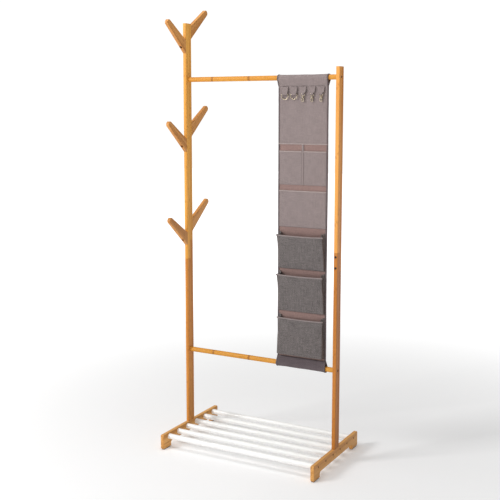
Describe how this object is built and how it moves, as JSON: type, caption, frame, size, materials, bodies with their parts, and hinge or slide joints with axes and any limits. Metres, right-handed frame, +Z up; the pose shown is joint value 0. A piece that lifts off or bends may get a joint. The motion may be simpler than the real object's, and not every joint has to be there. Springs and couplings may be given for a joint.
{
  "type": "clothes rack",
  "caption": "Free-standing bamboo clothes rack with a tall hook post, two cross rails, a tube shoe shelf and a sliding cloth pocket organiser.",
  "frame": {"origin": "on the floor, midway between the posts and midway between the front and back feet", "axes": "+Z up, +X along the rails from the tall hook post to the short post, -Y the front"},
  "size_m": [0.696, 0.434, 1.8097],
  "materials": {
    "bamboo": "satin",
    "bamboo_dark": "satin",
    "white_enamel": "gloss",
    "white_plastic": "matte",
    "pad_rubber": "matte",
    "black_steel": "satin",
    "zinc_insert": "satin",
    "dowel_wood": "matte",
    "grey_cloth": "matte",
    "lining_cloth": "matte",
    "pocket_cloth": "matte",
    "binding_cloth": "matte",
    "pale_nickel": "polished"
  },
  "bodies": {
    "frame": {"left_base_rail": "bamboo", "right_base_rail": "bamboo", "left_post_lower": "bamboo_dark", "left_post_upper": "bamboo", "right_post_lower": "bamboo", "right_post_upper": "bamboo", "top_rail": "bamboo", "lower_rail": "bamboo", "shoe_tube_1": "white_enamel", "shoe_tube_2": "white_enamel", "shoe_tube_3": "white_enamel", "shoe_tube_4": "white_enamel", "shoe_tube_5": "white_enamel", "shoe_tube_6": "white_enamel", "hook_front_top": "bamboo", "hook_front_middle": "bamboo", "hook_front_bottom": "bamboo", "hook_back_top": "bamboo", "hook_back_middle": "bamboo", "hook_back_bottom": "bamboo", "foot_pads": "pad_rubber", "tube_plugs": "white_plastic", "rail_bolts": "black_steel", "splice_bolts": "black_steel", "hook_bolts": "black_steel", "post_bolts": "black_steel", "tube_screws": "black_steel", "threaded_inserts": "zinc_insert", "post_dowels": "dowel_wood"},
    "organiser": {"back_panel": "lining_cloth", "front_panel": "grey_cloth", "top_sleeve": "grey_cloth", "bottom_sleeve": "binding_cloth", "left_binding": "binding_cloth", "right_binding": "binding_cloth", "small_pocket_left": "grey_cloth", "small_pocket_right": "grey_cloth", "wide_pocket": "grey_cloth", "large_pocket_top": "pocket_cloth", "large_pocket_middle": "pocket_cloth", "large_pocket_bottom": "pocket_cloth", "tab_1": "grey_cloth", "tab_2": "grey_cloth", "tab_3": "grey_cloth", "tab_4": "grey_cloth", "tab_5": "grey_cloth"},
    "ring_1": {"ring_1": "pale_nickel"},
    "ring_2": {"ring_2": "pale_nickel"},
    "clasp_eye_1": {"clasp_eye_1": "pale_nickel"},
    "clasp_hook_1": {"clasp_hook_1": "pale_nickel"},
    "clasp_gate_1": {"clasp_gate_1": "pale_nickel"},
    "clasp_eye_2": {"clasp_eye_2": "pale_nickel"},
    "clasp_hook_2": {"clasp_hook_2": "pale_nickel"},
    "clasp_gate_2": {"clasp_gate_2": "pale_nickel"},
    "clasp_eye_3": {"clasp_eye_3": "pale_nickel"},
    "clasp_hook_3": {"clasp_hook_3": "pale_nickel"},
    "clasp_gate_3": {"clasp_gate_3": "pale_nickel"}
  },
  "joints": [
    {"name": "organiser_slide", "type": "slide", "parent": "frame", "child": "organiser", "axis": [1, 0, 0], "range_m": [-0.41, 0.033]},
    {"name": "ring_1_swing", "type": "hinge", "parent": "organiser", "child": "ring_1", "pos_m": [0.114, -0.0092, 1.455], "axis": [-1, 0, 0], "range_deg": [-10, 150]},
    {"name": "ring_2_swing", "type": "hinge", "parent": "organiser", "child": "ring_2", "pos_m": [0.1525, -0.0092, 1.455], "axis": [-1, 0, 0], "range_deg": [-10, 150]},
    {"name": "eye_1_swing", "type": "hinge", "parent": "organiser", "child": "clasp_eye_1", "pos_m": [0.191, -0.0092, 1.455], "axis": [-1, 0, 0], "range_deg": [0, 150]},
    {"name": "hook_1_swivel", "type": "hinge", "parent": "clasp_eye_1", "child": "clasp_hook_1", "pos_m": [0.191, -0.0092, 1.447], "axis": [0, 0, 1], "continuous": true},
    {"name": "gate_1_hinge", "type": "hinge", "parent": "clasp_hook_1", "child": "clasp_gate_1", "pos_m": [0.1954, -0.0092, 1.4402], "axis": [0, 1, 0], "range_deg": [0, 18], "stiffness_Nm_per_rad": 0.01, "springref_deg": -20.05},
    {"name": "eye_2_swing", "type": "hinge", "parent": "organiser", "child": "clasp_eye_2", "pos_m": [0.2295, -0.0092, 1.455], "axis": [-1, 0, 0], "range_deg": [0, 150]},
    {"name": "hook_2_swivel", "type": "hinge", "parent": "clasp_eye_2", "child": "clasp_hook_2", "pos_m": [0.2295, -0.0092, 1.447], "axis": [0, 0, 1], "continuous": true},
    {"name": "gate_2_hinge", "type": "hinge", "parent": "clasp_hook_2", "child": "clasp_gate_2", "pos_m": [0.2339, -0.0092, 1.4402], "axis": [0, 1, 0], "range_deg": [0, 18], "stiffness_Nm_per_rad": 0.01, "springref_deg": -20.05},
    {"name": "eye_3_swing", "type": "hinge", "parent": "organiser", "child": "clasp_eye_3", "pos_m": [0.268, -0.0092, 1.455], "axis": [-1, 0, 0], "range_deg": [0, 150]},
    {"name": "hook_3_swivel", "type": "hinge", "parent": "clasp_eye_3", "child": "clasp_hook_3", "pos_m": [0.268, -0.0092, 1.447], "axis": [0, 0, 1], "continuous": true},
    {"name": "gate_3_hinge", "type": "hinge", "parent": "clasp_hook_3", "child": "clasp_gate_3", "pos_m": [0.2724, -0.0092, 1.4402], "axis": [0, 1, 0], "range_deg": [0, 18], "stiffness_Nm_per_rad": 0.01, "springref_deg": -20.05}
  ]
}
